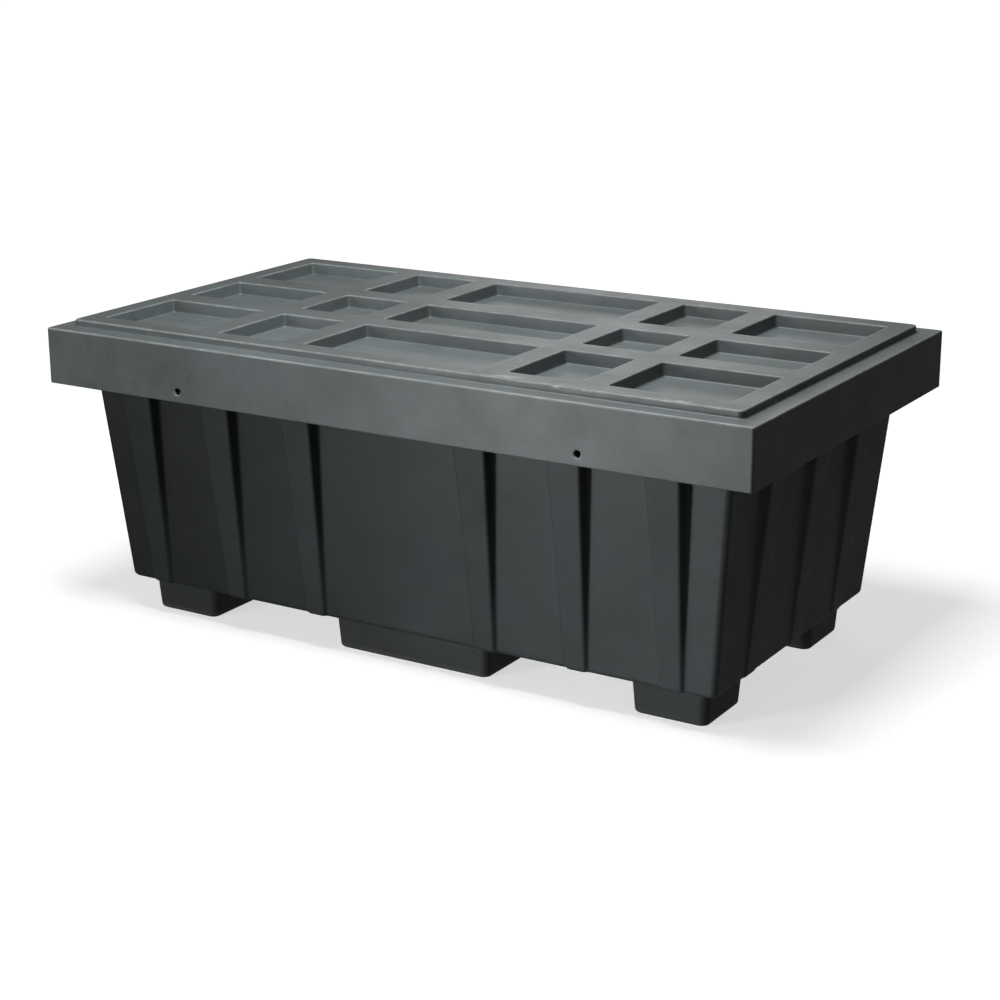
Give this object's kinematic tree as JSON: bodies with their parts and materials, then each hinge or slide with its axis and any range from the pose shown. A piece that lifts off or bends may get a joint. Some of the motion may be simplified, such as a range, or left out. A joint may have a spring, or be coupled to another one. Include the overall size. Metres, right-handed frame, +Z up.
{
  "type": "spill containment pallet",
  "caption": "Deep rectangular polyethylene spill pallet with buttressed tapered walls, block feet, and a skirted lift-off lid with recessed pockets.",
  "frame": {"origin": "centre of the footprint, on the ground under the feet", "axes": "+X along the length, +Y from the front to the back, +Z up"},
  "size_m": [1.3, 0.73, 0.522],
  "materials": {
    "sump_plastic": "satin moulded polyethylene, black-grey",
    "foot_plastic": "satin moulded polyethylene, black-grey",
    "deck_plastic": "matt moulded polyethylene, dark grey, lightly scuffed",
    "panel_plastic": "matt moulded polyethylene, dark grey"
  },
  "bodies": {
    "sump": {"sump_tub": "sump_plastic", "front_left_foot": "foot_plastic", "front_centre_foot": "foot_plastic", "front_right_foot": "foot_plastic", "back_left_foot": "foot_plastic", "back_centre_foot": "foot_plastic", "back_right_foot": "foot_plastic"},
    "lid": {"lid_deck": "deck_plastic", "lid_bottom_panel": "panel_plastic"}
  },
  "joints": [
    {"name": "lid_lift", "type": "slide", "parent": "sump", "child": "lid", "axis": [0, 0, 1], "range_m": [0, 0.3]}
  ]
}
